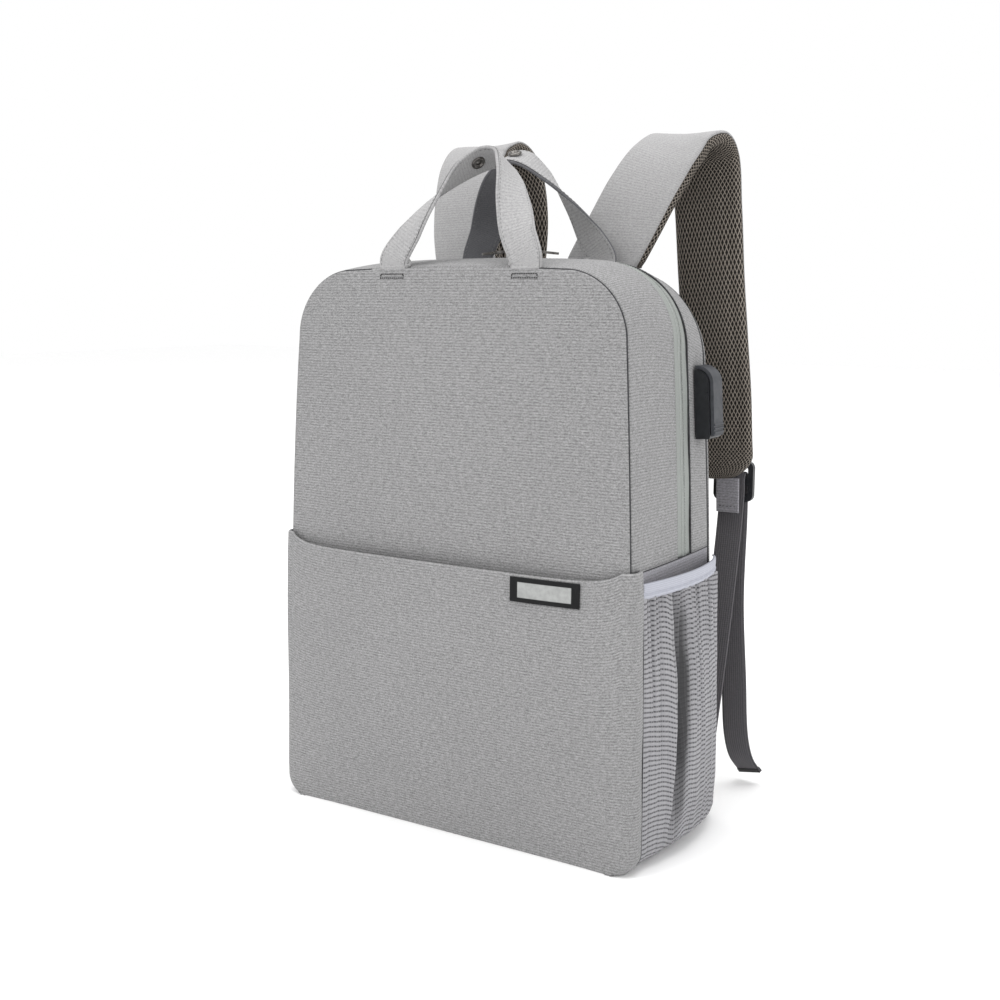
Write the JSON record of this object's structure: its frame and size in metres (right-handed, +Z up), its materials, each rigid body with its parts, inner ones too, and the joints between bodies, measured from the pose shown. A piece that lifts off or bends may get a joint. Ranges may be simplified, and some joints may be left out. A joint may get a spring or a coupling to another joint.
{
  "type": "camera backpack",
  "caption": "Arch-shaped cloth camera backpack with a front slip pocket, knitted side pockets, paired carrying handles, padded shoulder straps and a side charging port.",
  "frame": {"origin": "centre of the flat base, on the floor", "axes": "+Z up, -Y out of the front panel, +X towards the side with the charging port"},
  "size_m": [0.3178, 0.221, 0.4892],
  "materials": {
    "canvas": "woven grey canvas with fine horizontal slubs",
    "air_mesh": "open diamond spacer mesh over dark foam",
    "zip_tape": "pale grey zip tape",
    "lining": "smooth grey cloth",
    "knit_mesh": "ribbed stretch knit",
    "elastic": "pale blue-grey elastic binding",
    "webbing": "dark grey ribbed webbing",
    "patch": "bare woven patch, black rim and pale centre",
    "plastic": "moulded black plastic",
    "rubber": "matt grey rubber",
    "metal": "polished nickel"
  },
  "bodies": {
    "bag": {"front_panel": "canvas", "back_panel": "air_mesh", "front_gusset": "canvas", "zip_band": "zip_tape", "rear_gusset": "canvas", "base_panel": "canvas", "side_panel_right": "lining", "side_panel_left": "lining", "mesh_pocket_right": "knit_mesh", "mesh_pocket_left": "knit_mesh", "pocket_trim_right": "elastic", "pocket_trim_left": "elastic", "front_pocket": "canvas", "front_patch": "patch", "handle_front": "canvas", "handle_rear": "canvas", "snap_front": "metal", "snap_rear": "metal", "slider_right": "metal", "slider_left": "metal", "port_housing": "plastic", "port_cover": "rubber", "strap_pad_right": "air_mesh", "strap_pad_left": "air_mesh", "strap_cover_right": "canvas", "strap_cover_left": "canvas", "strap_tab_right": "lining", "strap_tab_left": "lining", "ladder_lock_right": "plastic", "ladder_lock_left": "plastic", "webbing_right": "webbing", "webbing_left": "webbing", "anchor_right": "lining", "anchor_left": "lining"},
    "right_pull": {"pull_right": "metal"},
    "left_pull": {"pull_left": "metal"}
  },
  "joints": [
    {"name": "right_pull_hinge", "type": "hinge", "parent": "bag", "child": "right_pull", "pos_m": [0.0133, 0.0135, 0.40368], "axis": [0, -1, 0], "range_deg": [0, 100]},
    {"name": "left_pull_hinge", "type": "hinge", "parent": "bag", "child": "left_pull", "pos_m": [0.0027, 0.0135, 0.4037], "axis": [0, 1, 0], "range_deg": [0, 100]}
  ]
}
